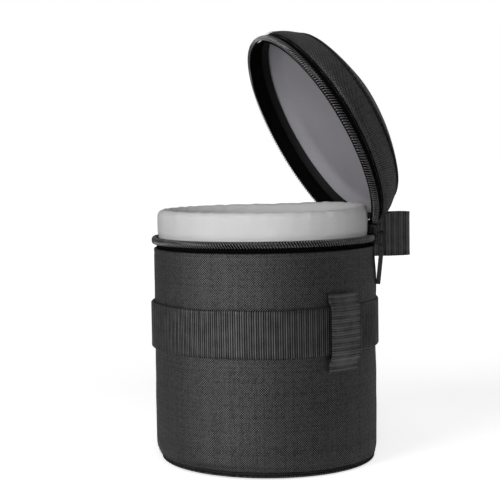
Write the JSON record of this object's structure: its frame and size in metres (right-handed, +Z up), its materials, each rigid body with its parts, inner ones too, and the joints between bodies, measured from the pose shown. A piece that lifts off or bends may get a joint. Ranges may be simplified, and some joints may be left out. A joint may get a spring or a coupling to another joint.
{
  "type": "lens pouch",
  "caption": "Round padded lens pouch with a zip-round hinged lid standing open, a raised padded collar, a webbing band with belt tabs and a webbing hang loop.",
  "frame": {"origin": "centre of the underside of the base, on the surface the pouch stands on", "axes": "+Z up, +Y towards the back, where the lid hinges and the hang loop is sewn; the zip slider is parked on the +X side of the hinge"},
  "size_m": [0.129, 0.153, 0.241],
  "materials": {
    "woven_cloth": "charcoal black woven nylon, matt with fine light flecks",
    "webbing": "charcoal ribbed webbing, matt",
    "pale_lining": "pale grey smooth lining cloth",
    "grey_lining": "grey smooth lining cloth",
    "foam": "closed-cell foam padding, out of sight",
    "zip_cloth": "black woven zip tape",
    "zip_nylon": "black nylon coil, glossy",
    "dark_metal": "gunmetal plated, semi-gloss",
    "pull_rubber": "moulded soft black rubber, satin"
  },
  "bodies": {
    "body": {"base_panel": "woven_cloth", "base_binding": "webbing", "outer_shell": "woven_cloth", "wall_foam": "foam", "base_foam": "foam", "lining_floor": "pale_lining", "lining_sleeve": "pale_lining", "collar_foam": "foam", "body_zip_tape": "zip_cloth", "body_zip_coil": "zip_nylon", "zip_bottom_stop": "dark_metal", "body_top_stop": "dark_metal", "body_hinge_strip": "webbing", "webbing_band": "webbing", "side_tab_right": "webbing", "side_tab_left": "webbing", "hang_loop": "webbing"},
    "lid": {"lid_sidewall": "woven_cloth", "lid_top_panel": "woven_cloth", "lid_piping": "webbing", "lid_wall_foam": "foam", "lid_top_foam": "foam", "lid_ceiling_lining": "grey_lining", "lid_wall_lining": "grey_lining", "lid_zip_tape": "zip_cloth", "lid_zip_coil": "zip_nylon", "lid_top_stop": "dark_metal", "lid_hinge_strip": "webbing"},
    "slider": {"slider_body": "dark_metal"},
    "pull": {"pull_link": "dark_metal", "pull_tab": "pull_rubber"}
  },
  "joints": [
    {"name": "lid_hinge", "type": "hinge", "parent": "body", "child": "lid", "pos_m": [0, 0.05875, 0.13095], "axis": [-1, 0, 0], "range_deg": [-62, 13]},
    {"name": "slider_travel", "type": "hinge", "parent": "body", "child": "slider", "pos_m": [0, 0, 0.1269], "axis": [0, 0, -1], "range_deg": [0, 307]},
    {"name": "puller_swing", "type": "hinge", "parent": "slider", "child": "pull", "pos_m": [0.02998, 0.06014, 0.1269], "axis": [0.8949, -0.4462, 0], "range_deg": [0, 90]}
  ]
}
